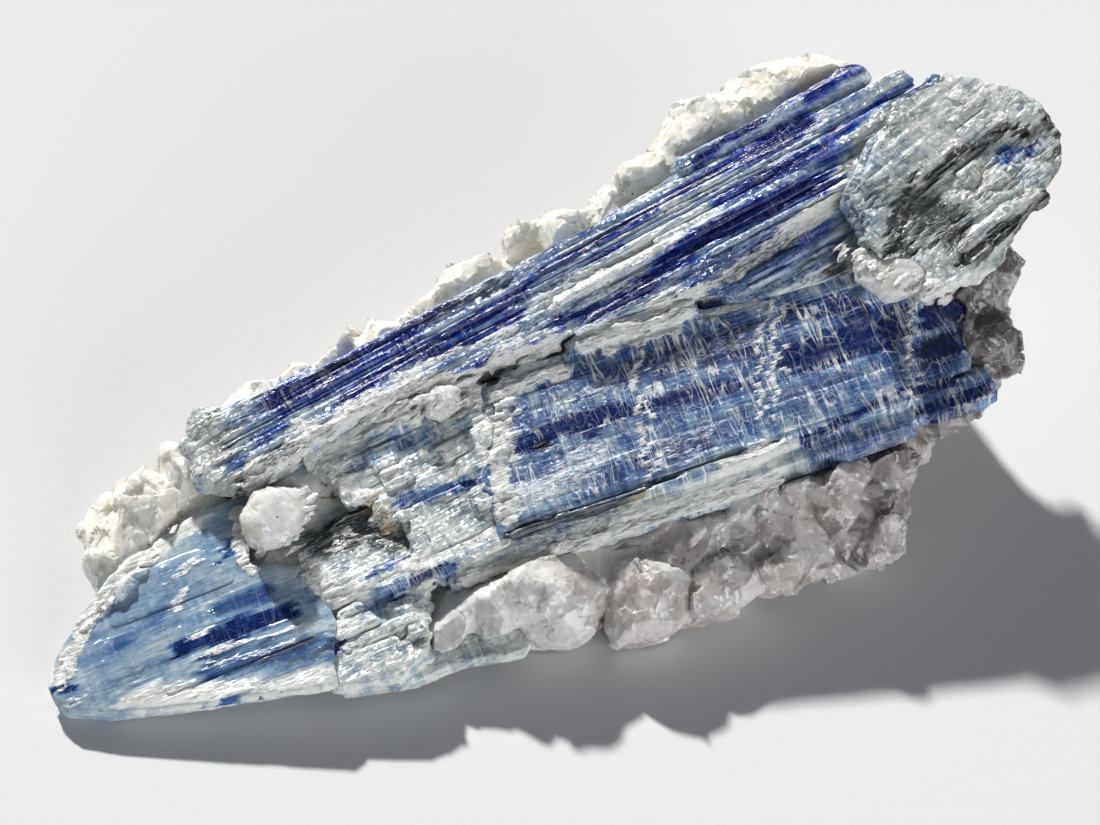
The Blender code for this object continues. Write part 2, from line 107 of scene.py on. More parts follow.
FRAMES = {
    "long_blade_bundle": crystal_frame((-29.3, 11.5, 13.5), -1.5, 12.2, 18.0),
    "striated_fan": crystal_frame((-29.0, 12.0, 12.1), -1.5, 12.2, 18.0),
    "broad_blade": crystal_frame((-5.0, 2.8, 14.8), -11.0, 7.5, 16.0),
    "broad_end": crystal_frame((-5.0, 2.8, 13.5), -11.0, 7.5, 16.0),
    "ledge": crystal_frame((7.3, -15.7, 10.6), -11.0, 7.5, 20.0),
    "right_end_blade": crystal_frame((34.6, -5.3, 23.7), 10.0, 12.2, 16.0),
    "left_end_blade": crystal_frame((-32.5, 5.2, 8.5), -8.0, 9.5, 11.5),
    "broken_step_blades": crystal_frame((-17.0, 5.2, 12.9), -4.0, 11.0, 16.0),
    "low_step": crystal_frame((-20.9, -7.2, 6.6), -4.0, 6.0, 7.0),
}


def on_face(name, pixel):
    """Where a pixel's ray meets the crystal's broad face, as u and v."""
    place = FRAMES[name]
    normal = place.to_3x3() @ Vector((0.0, 0.0, 1.0))
    ray = pixel_ray(pixel)
    reach = (place.translation - EYE).dot(normal) / ray.dot(normal)
    local = place.inverted() @ (EYE + ray * reach)
    return local.x, local.y


def solid_tree(node):
    """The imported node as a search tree, in the layout's millimetres."""
    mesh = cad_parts[node].data
    points = [vertex.co / MM - LAYOUT_SHIFT for vertex in mesh.vertices]
    return BVHTree.FromPolygons(points, [tuple(face.vertices) for face in mesh.polygons])


TREES = {node: solid_tree(node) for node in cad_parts}


def path_pixels(path):
    """The pixels of a path, which is written as x,y x,y and so on."""
    return [tuple(int(number) for number in pair.split(",")) for pair in path.split()]


def seen_point(pixel):
    """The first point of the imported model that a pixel's ray meets."""
    ray = pixel_ray(pixel).normalized()
    hits = [tree.ray_cast(EYE, ray) for tree in TREES.values()]
    return min((hit for hit in hits if hit[0] is not None), key=lambda hit: hit[3])[0]


# -------- repeatable noise on arrays of points
def scramble(*keys):
    """A number from 0 to 1 for each set of whole-number keys, of which the first is an array."""
    total = np.zeros(np.shape(keys[0]), np.uint32)
    for key in keys:
        total = (total ^ np.asarray(key).astype(np.int64).astype(np.uint32)) * np.uint32(0x9E3779B1)
        total ^= total >> np.uint32(15)
        total = total * np.uint32(0x85EBCA6B)
        total ^= total >> np.uint32(13)
    return total.astype(np.float64) / 4294967296.0


def smooth(value, low, high):
    part = np.clip((value - low) / (high - low), 0.0, 1.0)
    return part * part * (3.0 - 2.0 * part)


def noise(points, seed):
    """Smooth noise from -1 to 1 with features one unit across."""
    base = np.floor(points)
    part = points - base
    part = part * part * (3.0 - 2.0 * part)
    total = np.zeros(len(points))
    for corner in range(8):
        step = np.array([corner & 1, corner >> 1 & 1, corner >> 2 & 1])
        weight = np.prod(np.where(step, part, 1.0 - part), axis=1)
        cell = base + step
        total += weight * scramble(*cell.T, seed)
    return total * 2.0 - 1.0


def cloud(points, seed, octaves=4):
    """Noise summed over octaves, each half as large and half as strong."""
    total = np.zeros(len(points))
    for octave in range(octaves):
        total += noise(points * 2.0 ** octave, seed + octave) * 0.5 ** octave
    return total


def cells(points, seed):
    """For each point the key of the nearest scattered centre, and how much further the next one is."""
    base = np.floor(points)
    nearest = np.full(len(points), 9.0)
    second = np.full(len(points), 9.0)
    key = np.zeros(len(points))
    for step in np.ndindex(3, 3, 3):
        cell = base + np.array(step) - 1.0
        drawn = [scramble(*cell.T, seed + k) for k in range(4)]
        offset = points - (cell + np.stack(drawn[:3], 1))
        gap = np.einsum("ij,ij->i", offset, offset)
        closer = gap < nearest
        second = np.where(closer, nearest, np.minimum(second, gap))
        key = np.where(closer, drawn[3], key)
        nearest = np.where(closer, gap, nearest)
    return key, np.sqrt(second) - np.sqrt(nearest)


def strips(value, seed):
    """Splits a line into strips of about one unit: the strip's number and the place inside it, 0 to 1."""
    base = np.floor(value)
    start = base + 0.7 * scramble(base, seed)
    before = value < start
    number = np.where(before, base - 1.0, base)
    low = number + 0.7 * scramble(number, seed)
    high = number + 1.0 + 0.7 * scramble(number + 1.0, seed)
    return number, (value - low) / (high - low)


# -------- fine meshes from the solids
# A piece with more triangles than this is thinned out.
MOST_TRIANGLES = 190000
# Edges sharper than this many degrees stay sharp.
KYANITE_CREASE = 25.0
QUARTZ_CREASE = 20.0


def new_object(name, data):
    thing = bpy.data.objects.new(name, data)
    bpy.context.scene.collection.objects.link(thing)
    return thing


def apply_modifiers(thing):
    """Gives the object the mesh that its modifiers make of it."""
    bpy.context.view_layer.update()
    view = bpy.context.evaluated_depsgraph_get()
    rough = thing.data
    done = bpy.data.meshes.new_from_object(
        thing.evaluated_get(view), preserve_all_data_layers=True, depsgraph=view
    )
    thing.modifiers.clear()
    thing.data = done
    bpy.data.meshes.remove(rough)
    return done


def read_points(mesh):
    points = np.empty(len(mesh.vertices) * 3)
    mesh.vertices.foreach_get("co", points)
    return points.reshape(-1, 3)


def remeshed(node, place, squeeze, voxel, extra=None):
    """A fine grid of the node's surface, as points in the crystal's frame and faces.

    squeeze shortens the long way before the grid is laid, so that its cells are long and narrow. extra is a
    mesh in the layout's millimetres that is joined to the node.
    """
    to_layout = Matrix.Translation(-LAYOUT_SHIFT) @ Matrix.Scale(1.0 / MM, 4)
    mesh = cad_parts[node].data.copy()
    mesh.transform(to_layout)
    if extra:
        work = bmesh.new()
        work.from_mesh(mesh)
        work.from_mesh(extra)
        work.to_mesh(mesh)
        work.free()
        bpy.data.meshes.remove(extra)
    mesh.transform(Matrix.Diagonal((squeeze, 1.0, 1.0, 1.0)) @ place.inverted())
    thing = new_object(node + "_surface", mesh)
    grid = thing.modifiers.new("grid", "REMESH")
    grid.mode = "VOXEL"
    grid.voxel_size = voxel
    fine = apply_modifiers(thing)
    points = read_points(fine)
    points[:, 0] /= squeeze
    faces = np.empty(len(fine.polygons) * 4, np.int32)
    fine.polygons.foreach_get("vertices", faces)
    return thing, points, faces.reshape(-1, 4)


def carried(matrix, points):
    """The points moved by a matrix."""
    rows = np.array(matrix)
    return points @ rows[:3, :3].T + rows[:3, 3]


def face_normals(points, faces):
    corners = points[faces]
    return np.cross(corners[:, 2] - corners[:, 0], corners[:, 3] - corners[:, 1])


def point_normals(points, faces):
    total = np.zeros_like(points)
    normals = face_normals(points, faces)
    for corner in range(4):
        np.add.at(total, faces[:, corner], normals)
    return total / (np.linalg.norm(total, axis=1, keepdims=True) + 1e-12)


def softened(values, faces, rounds):
    """Values on points, averaged with their neighbours."""
    count = np.zeros(len(values))
    for corner in range(4):
        np.add.at(count, faces[:, corner], 1.0)
    for _ in range(rounds):
        mean = values[faces].mean(axis=1)
        total = np.zeros_like(values)
        for corner in range(4):
            np.add.at(total, faces[:, corner], mean)
        values = total / (count[:, None] if values.ndim == 2 else count)
    return values


def shade(thing, sharp_angle):
    thing.data.shade_smooth()
    thing.data.set_sharp_from_angle(angle=math.radians(sharp_angle))


def store(thing, points, place, sharp_angle):
    """Writes the points back in metres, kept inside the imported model's box."""
    world = carried(Matrix.Scale(MM, 4) @ Matrix.Translation(LAYOUT_SHIFT) @ place, points)
    world = np.clip(world, *CAD_BOX)
    thing.data.vertices.foreach_set("co", world.ravel())
    thing.data.update()
    shade(thing, sharp_angle)


def keep_field(thing, name, *parts):
    """A field of three numbers on the points, which the materials read."""
    field = thing.data.attributes.new(name, "FLOAT_VECTOR", "POINT")
    field.data.foreach_set("vector", np.stack(parts, 1).astype(np.float32).ravel())


def thin_out(thing, sharp_angle):
    """Merges the flattest faces where a piece has too many."""
    count = 2 * len(thing.data.polygons)
    if count < MOST_TRIANGLES:
        return
    thing.modifiers.new("thin", "DECIMATE").ratio = MOST_TRIANGLES / count
    mesh = apply_modifiers(thing)
    mesh.vertices.foreach_set("co", np.clip(read_points(mesh), *CAD_BOX).ravel())
    mesh.update()
    shade(thing, sharp_angle)


def planed(points, normals, place, size, strength, seed):
    """Moves the points towards flat facets, about size across, one for each scattered centre.

    place is where each point lies in the space that the centres are scattered in. Gives the moved points,
    each one's facet as a number from 0 to 1, and its distance from the facet's edge.
    """
    key, gap = cells(place / size, seed)
    _, group = np.unique(key, return_inverse=True)
    count = np.bincount(group)
    middle = np.stack([np.bincount(group, points[:, k]) for k in range(3)], 1) / count[:, None]
    facing = np.stack([np.bincount(group, normals[:, k]) for k in range(3)], 1)
    length = np.linalg.norm(facing, axis=1)
    flat = smooth(length / count, 0.55, 0.8)
    facing /= length[:, None] + 1e-9
    height = np.einsum("ij,ij->i", points - middle[group], facing[group])
    height = np.clip(height, -0.4 * size, 0.4 * size)
    points = points - facing[group] * (strength * flat[group] * height)[:, None]
    return points, key, gap * size


# -------- kyanite surface
# The levels of laths on a broad face: their width and length, and how far they step up and down, in mm.
LATHS = ((2.3, 26.0, 0.26), (1.05, 15.0, 0.17), (0.5, 9.0, 0.1))
# The levels of sheets in a broken side: their thickness and length, and how far they step in and out, in mm.
SHEETS = ((1.1, 12.0, 0.45), (0.45, 6.0, 0.25))


def lath_relief(u, v, seed):
    """The height of a split broad face: laths of several widths, each broken along its length and tilted."""
    relief = np.zeros(len(u))
    drift = 0.5 * noise(np.stack([u * 0.04, v * 0.25, relief], 1), seed)
    for width, length, height in LATHS:
        lane, place = strips((v + drift) / width, seed)
        shift = 9.0 * scramble(lane, seed + 1)
        slant = (place - 0.5) * (scramble(lane, seed + 2) - 0.5) * 0.25
        part, _ = strips(u / length + shift + slant, seed + 3)
        level = scramble(lane, part, seed + 4) - 0.6
        tilt = (place - 0.5) * (scramble(lane, part, seed + 5) - 0.5)
        relief += height * (level + 0.9 * tilt)
        seed += 10
    return relief


def sheet_relief(u, w, seed):
    """The depth of a broken side: thin sheets that end at different depths."""
    relief = np.zeros(len(u))
    for height, length, depth in SHEETS:
        layer, _ = strips(w / height, seed)
        shift = 9.0 * scramble(layer, seed + 1)
        part, _ = strips(u / length + shift, seed + 2)
        relief += depth * (scramble(layer, part, seed + 3) - 0.5)
        seed += 10
    return relief


# The faces with bands that a crystal has besides its main one.
MORE_FACES = {
    "long_blade_bundle": ("striated_fan",),
    "broad_blade": ("broad_end", "ledge"),
    "broken_step_blades": ("low_step",),
}
# A band fades out between these depths below its face and these heights above it, in mm.
BAND_FLOOR = (-3.4, -2.4)
BAND_CEILING = (1.6, 2.4)
# The splinters that a band ends in: how wide they are, and how far their ends are shifted, in mm.
SPLINTER_WIDTH = 0.42
SPLINTER_STAGGER = 1.8


def marks(node, points, seed):
    """Blue, pale, frost, dark and warm on a crystal, from the bands on its faces, with splintered edges."""
    fields = {kind: np.zeros(len(points)) for kind in ("blue", "pale", "frost", "dark", "warm")}
    for face in (node, *MORE_FACES.get(node, ())):
        u, v, w = carried(FRAMES[face].inverted() @ FRAMES[node], points).T
        near = smooth(w, *BAND_FLOOR) * (1.0 - smooth(w, *BAND_CEILING))
        drift = 0.35 * noise(np.stack([u * 0.12, v * 0.6, 0.0 * u], 1), seed)
        lane, place = strips((v + drift) / SPLINTER_WIDTH, seed + 1)
        middle = v + (0.5 - place) * 0.3
        shifted = u + SPLINTER_STAGGER * (scramble(lane, seed + 2) - 0.5)
        ragged = 0.25 * noise(np.stack([u * 0.5, v * 1.5, 0.0 * u], 1), seed + 3)
        for kind, strength, half_width, path in BANDS[face]:
            line = [on_face(face, pixel) for pixel in path_pixels(path)]
            across = middle + half_width * ragged
            gap = np.full(len(u), 99.0)
            for (u0, v0), (u1, v1) in zip(line, line[1:]):
                run, rise = u1 - u0, v1 - v0
                along = ((shifted - u0) * run + (across - v0) * rise) / (run * run + rise * rise)
                along = np.clip(along, 0.0, 1.0)
                reach = np.hypot(shifted - u0 - along * run, across - v0 - along * rise)
                gap = np.minimum(gap, reach)
            edge = smooth(gap, 0.45 * half_width, 1.3 * half_width + 0.2)
            amount = strength * near * (1.0 - edge)
            fields[kind] = np.maximum(fields[kind], amount)
        seed += 7
    return fields


# Broken flakes along each crystal's seams: their size and the seam's width in mm, and the path that the seam
# takes through the picture's pixels.
SEAMS = {
    "long_blade_bundle": (
        (0.8, 1.6, "236,500 262,478 300,446 350,418 400,396 450,382 496,366"),
        (0.5, 0.5, "702,298 736,274 770,250 806,222 838,198"),
        (1.2, 1.0, "484,376 505,362 535,350 562,340"),
    ),
    "broad_blade": (
        (0.9, 1.8, "496,376 530,366 565,350 600,334 640,320 690,302"),
        (0.8, 1.6, "580,346 620,332 660,322 690,314"),
        (0.6, 0.8, "500,392 530,378 562,368"),
        (0.7, 1.0, "500,385 500,420 498,450 504,490 508,520"),
        (0.5, 0.6, "722,306 760,298"),
        (0.7, 0.9, "462,582 540,556 620,530 700,505 776,480"),
    ),
    "left_end_blade": (
        (0.5, 0.5, "238,512 238,540 250,570"),
        (0.4, 0.9, "62,688 68,660 88,622 118,584 156,552"),
    ),
    "right_end_blade": (
        (0.8, 1.4, "836,244 862,262 900,285 936,290"),
        (0.6, 0.8, "936,290 950,300 962,320"),
    ),
    "broken_step_blades": (
        (0.8, 1.4, "360,430 400,410 440,400 484,390"),
        (0.7, 1.2, "310,490 300,520 290,560"),
        (0.6, 1.0, "405,560 425,575 428,610 424,645"),
        (0.6, 1.0, "300,480 330,490 365,500 395,530"),
    ),
}


def flake_mesh(node, seed):
    """The flakes along a crystal's seams, as one mesh in the layout, and their centres and sizes."""
    rng = np.random.default_rng(seed)
    work = bmesh.new()
    spots = []
    turn = FRAMES[node].to_3x3()
    for size, width, path in SEAMS[node]:
        line = [seen_point(pixel) for pixel in path_pixels(path)]
        for start, end in zip(line, line[1:]):
            way = (end - start).normalized()
            across = way.cross(BACK).normalized()
            for step in np.arange(0.0, (end - start).length, 0.5 * size):
                middle = start + way * step + across * (width * rng.uniform(-0.5, 0.5))
                middle.z += size * rng.uniform(-0.5, 0.15)
                radii = size * np.array((rng.uniform(0.8, 2.2), rng.uniform(0.4, 0.9), rng.uniform(0.3, 0.7)))
                corners = rng.normal(size=(7, 3))
                corners *= radii / np.linalg.norm(corners, axis=1, keepdims=True)
                dots = [work.verts.new(middle + turn @ Vector(corner)) for corner in corners]
                hull = bmesh.ops.convex_hull(work, input=dots)
                bmesh.ops.delete(work, geom=hull["geom_interior"], context="VERTS")
                spots.append((*middle, 0.8 * radii.max()))
    mesh = bpy.data.meshes.new("flakes")
    work.to_mesh(mesh)
    work.free()
    return mesh, np.array(spots)


def near_flakes(points, place, spots):
    """1 on the points that lie within a flake, 0 away from them all."""
    world = carried(place, points)
    amount = np.zeros(len(points))
    for x, y, z, size in spots:
        gap = np.linalg.norm(world - (x, y, z), axis=1)
        amount = np.maximum(amount, 1.0 - smooth(gap, 0.8 * size, 1.3 * size))
    return amount


# How far apart two crystals may be for the scene to close the gap, in mm.
JOIN_REACH = 1.2


def towards_neighbours(node, points, place, chosen):
    """How far each chosen point is from the nearest other crystal, up to JOIN_REACH, else 0."""
    others = [tree for name, tree in TREES.items() if name != node]
    gap = np.zeros(len(points))
    world = carried(place, points)
    for index in np.flatnonzero(chosen):
        spot = Vector(world[index])
        found = [tree.find_nearest(spot, JOIN_REACH)[3] for tree in others]
        found = [distance for distance in found if distance is not None]
        gap[index] = min(found) if found else 0.0
    return gap


# How each crystal's face is broken: noise seed, grid, strength of the laths, how much is crumbled, and how
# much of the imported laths' height stays.
KYANITE = {
    "long_blade_bundle": dict(seed=100, squeeze=0.4, voxel=0.16, relief=0.65, crumble=-0.1, proud=0.35),
    "broad_blade": dict(seed=200, squeeze=0.4, voxel=0.15, relief=0.2, crumble=-0.4, proud=0.3),
    "right_end_blade": dict(seed=300, squeeze=0.6, voxel=0.15, relief=0.5, crumble=0.0, proud=0.5),
    "left_end_blade": dict(seed=400, squeeze=0.6, voxel=0.16, relief=0.07, crumble=-0.5, proud=0.15),
    "broken_step_blades": dict(seed=500, squeeze=0.5, voxel=0.15, relief=0.5, crumble=-0.05, proud=0.35),
}

# Bands of colour on each face: kind, strength, half width in mm, and path through the picture's pixels. The
# dark bands are dark seams and gaps, and in places painted shadow.
BANDS = {}
BANDS["long_blade_bundle"] = (
    ("blue", 0.66, 1.6, "276,402 340,372 402,340"),
    ("blue", 0.5, 0.8, "400,334 450,306"),
    ("dark", 0.5, 0.8, "400,334 450,306 500,282"),
    ("blue", 0.92, 0.65, "345,400 400,364 440,340 500,307 525,290"),
    ("blue", 0.95, 0.6, "432,356 490,330 520,315"),
    ("blue", 0.65, 0.45, "450,379 500,356"),
    ("blue", 0.55, 0.4, "500,356 556,334"),
    ("blue", 1.0, 0.6, "553,322 585,314 640,292"),
    ("blue", 0.8, 0.5, "600,256 625,245"),
    ("blue", 0.6, 0.5, "530,280 565,260 600,240"),
    ("dark", 0.6, 0.5, "530,280 565,260 600,240"),
    ("blue", 0.88, 0.5, "600,240 640,216 700,180 740,160"),
    ("blue", 0.76, 1.2, "735,162 770,143 806,122"),
    ("blue", 0.8, 0.5, "695,166 722,144 755,126"),
    ("blue", 1.0, 0.8, "802,98 830,82 856,66"),
    ("blue", 0.6, 0.5, "775,106 800,95"),
    ("blue", 0.88, 0.65, "720,202 765,180 800,160 826,148 838,134 860,120 880,100"),
    ("blue", 0.6, 0.9, "880,102 905,88 930,74"),
    ("blue", 1.0, 1.15, "645,285 668,264 705,238 745,214 790,195 825,182"),
    ("blue", 0.5, 0.9, "828,162 852,150"),
    ("pale", 0.8, 2.8, "894,100 866,160 852,215"),
    ("frost", 0.7, 0.6, "400,378 450,350 520,328"),
    ("frost", 0.65, 0.8, "440,396 500,372 560,345 620,318"),
    ("frost", 0.6, 0.6, "655,210 690,204"),
    ("frost", 0.55, 0.6, "560,300 620,270 680,240"),
    ("frost", 0.55, 0.5, "540,300 560,285 600,268"),
    ("frost", 0.4, 0.5, "700,222 760,205 800,180"),
    ("dark", 0.4, 0.6, "560,240 620,205 680,165 740,125 790,92"),
    ("frost", 0.5, 0.5, "770,165 800,145 830,110"),
    ("frost", 0.8, 1.0, "300,425 330,430 350,420"),
    ("pale", 0.9, 2.2, "196,425 212,460 235,490"),
    ("pale", 0.5, 1.2, "560,300 620,272 680,240"),
    ("pale", 0.45, 0.9, "590,275 650,240 700,215"),
    ("frost", 0.75, 1.3, "250,480 290,470 300,440"),
    ("dark", 0.45, 2.0, "205,425 225,450 240,480"),
    ("dark", 0.9, 0.5, "240,478 246,496"),
    ("dark", 0.75, 0.6, "270,456 294,442"),
    ("blue", 0.8, 0.6, "228,470 240,462"),
    ("blue", 0.5, 0.5, "262,440 286,424"),
    ("dark", 0.6, 0.25, "240,406 300,380 350,360"),
    ("dark", 0.7, 0.3, "480,300 505,288"),
    ("frost", 0.7, 1.2, "870,75 895,62"),
    ("frost", 1.0, 0.35, "650,304 700,288 760,246 830,196"),
)
BANDS["striated_fan"] = (
    ("blue", 0.4, 2.4, "705,284 760,256 800,240 870,210"),
    # Painted shadow that the long bundle casts on the fan.
    ("dark", 0.55, 1.8, "705,284 760,252 790,236"),
    ("dark", 0.9, 0.9, "832,266 842,264"),
)
BANDS["broad_blade"] = (
    ("blue", 0.3, 2.6, "640,365 690,352 745,340"),
    ("blue", 0.2, 1.2, "560,385 630,368"),
    ("blue", 0.9, 0.9, "525,446 560,426 600,416 625,410"),
    ("blue", 1.0, 0.6, "583,434 590,424"),
    ("dark", 0.9, 0.4, "536,452 552,440"),
    ("blue", 0.6, 0.7, "640,410 662,402 700,394 745,382"),
    ("blue", 0.25, 1.3, "600,474 650,466 705,446"),
    ("blue", 1.0, 1.7, "795,358 835,346 892,330"),
    ("blue", 0.5, 1.3, "790,314 840,306 895,312"),
    ("frost", 0.45, 1.6, "510,500 560,480 600,450"),
    ("frost", 0.75, 0.8, "506,390 508,450 504,510"),
    ("pale", 0.6, 1.4, "515,505 560,490 600,462"),
    ("pale", 0.5, 1.0, "520,400 560,400 600,380"),
    ("pale", 0.25, 1.3, "650,482 720,458 790,434 900,396"),
    ("pale", 0.3, 0.5, "560,404 640,384 740,364"),
    ("pale", 0.4, 1.0, "610,345 700,318 780,300 880,290"),
    ("dark", 0.9, 0.18, "515,530 560,516 620,500 700,466 750,448"),
    ("frost", 0.85, 0.25, "636,352 644,410 654,478"),
    ("frost", 0.8, 0.22, "764,305 766,420"),
    ("frost", 0.8, 0.22, "777,305 781,400"),
    ("frost", 0.6, 0.4, "914,305 912,395"),
    ("frost", 0.95, 1.4, "575,338 620,325 680,308"),
    ("frost", 0.95, 0.6, "718,312 755,300"),
)
BANDS["broad_end"] = (
    ("blue", 1.0, 1.6, "932,314 950,308"),
    ("blue", 0.75, 1.4, "934,350 956,342"),
    ("dark", 0.5, 1.4, "934,350 956,342"),
)
BANDS["ledge"] = (
    ("pale", 1.0, 2.6, "465,580 560,552 640,524 720,492 780,464"),
    ("frost", 0.95, 1.0, "720,476 772,452"),
    ("frost", 0.4, 0.8, "560,540 640,512 720,486"),
    ("warm", 0.45, 0.6, "605,512 640,503 690,487"),
    ("dark", 0.95, 0.5, "520,533 545,524"),
    ("dark", 0.9, 0.16, "500,540 600,504 700,470 780,444"),
    ("frost", 0.55, 1.0, "470,566 560,536 640,510"),
    ("blue", 0.95, 0.3, "795,446 850,422 900,396 960,382"),
    ("blue", 1.0, 0.6, "926,412 955,404 985,388"),
    ("blue", 0.45, 0.3, "480,568 520,552 560,538"),
    ("blue", 0.35, 0.3, "640,528 700,505"),
)
BANDS["right_end_blade"] = (
    # Painted shadow in the crevice under the raised plate.
    ("dark", 1.0, 0.5, "925,187 955,156 985,140 1008,126 1030,130"),
    # The next two are painted shadow that the blade to the left casts.
    ("dark", 1.0, 1.3, "912,190 900,225 902,262"),
    ("dark", 0.85, 2.8, "930,205 950,235"),
    ("blue", 1.0, 1.1, "1006,153 1028,150"),
    ("blue", 0.6, 0.5, "1030,148 1046,142"),
    ("blue", 0.35, 1.0, "1015,168 1030,180"),
    # Painted shade along the blade's lower right edge.
    ("dark", 0.9, 0.7, "1050,110 1064,135 1066,160 1040,205 1000,235 960,262"),
    ("dark", 0.35, 0.4, "890,130 930,105"),
    ("frost", 0.5, 1.2, "940,110 1000,95 1040,105"),
    ("frost", 0.45, 1.0, "950,190 1000,180 1030,200"),
    ("blue", 0.36, 2.6, "856,132 860,172 866,215"),
    ("blue", 0.2, 1.6, "905,140 890,180 884,220"),
)
BANDS["left_end_blade"] = (
    ("blue", 0.12, 4.5, "130,640 170,600 225,550"),
    ("blue", 0.35, 0.8, "115,645 150,622 162,604"),
    ("blue", 0.95, 0.8, "178,652 222,632 255,624 285,612"),
    ("blue", 1.0, 0.8, "236,624 286,614"),
    ("blue", 0.5, 1.0, "222,608 268,592"),
    ("dark", 0.3, 1.1, "222,608 268,592"),
    ("blue", 0.72, 0.7, "212,652 236,640"),
    ("dark", 0.5, 1.5, "215,668 260,655 318,645"),
    ("blue", 0.4, 1.5, "215,668 260,655 318,645"),
    ("frost", 0.75, 0.18, "200,656 250,642 292,630"),
    ("frost", 0.6, 0.15, "205,668 250,655 300,640"),
    ("frost", 1.0, 0.6, "196,644 206,632"),
    ("frost", 0.7, 0.4, "172,612 182,592"),
    ("frost", 0.6, 0.35, "170,580 194,562"),
    ("blue", 0.85, 0.7, "60,690 66,688"),
    ("dark", 0.35, 1.0, "60,665 90,610 150,555"),
    ("frost", 0.4, 0.9, "150,690 240,690 340,675"),
    ("pale", 0.7, 1.2, "130,698 240,694 340,678"),
    ("pale", 0.6, 0.8, "55,680 80,630 120,575 200,520"),
    ("frost", 0.4, 0.8, "60,640 100,590"),
    ("blue", 0.75, 0.35, "222,560 232,540"),
    ("blue", 0.7, 0.4, "205,704 250,700"),
)
BANDS["broken_step_blades"] = (
    ("blue", 0.85, 0.7, "403,502 440,490 480,480"),
    ("blue", 0.4, 1.2, "350,462 395,445 430,438"),
    ("blue", 0.35, 1.5, "370,430 400,410 440,400"),
    ("frost", 0.6, 1.5, "310,450 350,450 340,480"),
    ("frost", 0.55, 1.0, "380,470 400,470"),
    ("frost", 0.7, 0.9, "480,400 492,450 490,500"),
    ("warm", 0.9, 0.8, "368,496 384,508 392,526"),
    ("dark", 0.4, 1.0, "480,520 440,500 500,500"),
    ("blue", 0.9, 0.35, "420,575 455,562"),
)
BANDS["low_step"] = (
    ("warm", 0.6, 0.8, "330,506 352,500"),
    # Painted shadow that the upper step's blade ends cast.
    ("dark", 0.95, 2.7, "330,545 370,530 400,545"),
    ("dark", 0.95, 0.3, "345,556 365,536 395,530"),
    ("frost", 0.7, 2.0, "320,590 350,600 350,650"),
    ("frost", 0.6, 1.0, "400,640 430,600"),
    ("blue", 0.5, 1.0, "360,615 402,592"),
    ("blue", 0.85, 0.4, "372,580 408,566"),
    ("blue", 0.88, 0.8, "326,632 338,652"),
    ("dark", 0.5, 0.9, "395,645 450,628"),
)


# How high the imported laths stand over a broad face, and how deep below it gaps are closed, in mm.
LATH_HEIGHT = 2.2
JOIN_DEPTH = 4.5
# The splinters' facets, each by its size in mm and how flat it is made, and the crumbs' size.
SPLINTERS = ((1.1, 0.9), (0.55, 0.8))
CRUMB = 0.5
# How the crumbled patches' noise and the splinters are scaled along u, v and w.
PATCH_SCALE = (0.07, 0.22, 0.22)
SPLINTER_SCALE = (0.4, 1.0, 1.0)
# Between these parts of a normal along w a surface turns into a top, or leaves off being a side.
TOP_SLOPE = (0.45, 0.85)
SIDE_SLOPE = (0.3, 0.75)
# How deep the dark grooves are, in mm.
GROOVE = 0.25


def shape_kyanite(node, seed, squeeze, voxel, relief, crumble, proud):
    """A crystal's fine surface: laths lowered and broken, sides split into sheets, gaps closed."""
    place = FRAMES[node]
    extra, spots = flake_mesh(node, seed + 90)
    thing, points, faces = remeshed(node, place, squeeze, voxel, extra)
    flaked = near_flakes(points, place, spots)
    normals = softened(point_normals(points, faces), faces, 2)
    fields = marks(node, points, seed + 80)
    side = 1.0 - smooth(np.abs(normals[:, 2]), *SIDE_SLOPE)
    side *= 1.0 - flaked
    join = towards_neighbours(node, points, place, (side > 0.3) & (points[:, 2] > -JOIN_DEPTH))
    lathed = (points[:, 2] > 0.0) & (points[:, 2] < LATH_HEIGHT)
    points[:, 2] -= np.where(lathed, (1.0 - proud) * (1.0 - flaked) * points[:, 2], 0.0)
    normals = softened(point_normals(points, faces), faces, 1)
    top = smooth(normals[:, 2], *TOP_SLOPE)
    u, v, w = points.T
    broken = smooth(cloud(points * PATCH_SCALE, seed + 50) + crumble, 0.25, 0.6)
    frost = np.maximum(fields["frost"], 0.9 * flaked)
    frost = np.maximum(frost, 0.3 * broken) * (1.0 - smooth(fields["blue"], 0.7, 0.95))
    broken = np.maximum(broken, frost)
    up = relief * (1.0 - 0.8 * flaked) * lath_relief(u, v, seed) + 0.02
    up -= GROOVE * smooth(fields["dark"], 0.6, 1.0)
    out = (1.0 - flaked) * sheet_relief(u, w, seed + 30) + 0.1 + 0.8 * softened(join, faces, 4)
    flat_normals = normals * (1.0, 1.0, 0.0)
    points[:, 2] += top * up
    points += flat_normals * (side * out)[:, None]
    normals = point_normals(points, faces)
    splinters = points * SPLINTER_SCALE
    for size, share in SPLINTERS:
        flat, _, _ = planed(points, normals, splinters, size, share, seed + 60)
        points += (flat - points) * (0.25 + 0.75 * broken)[:, None]
        seed += 1
    bits, _ = cells(splinters / CRUMB, seed + 70)
    points += normals * (0.16 * broken * (bits - 0.5))[:, None]
    store(thing, points, place, KYANITE_CREASE)
    keep_field(thing, "blade", *points.T)
    keep_field(thing, "marks", fields["blue"], frost, fields["dark"])
    keep_field(thing, "tints", fields["warm"], fields["pale"], 0.0 * frost)
    return thing


# -------- quartz surface
# The way that the side painted darker faces, at the back and beneath: painted shade on the quartz's back and
# underside.
BACK_SHADE_SIDE = np.array((0.1, 0.85, -0.5))


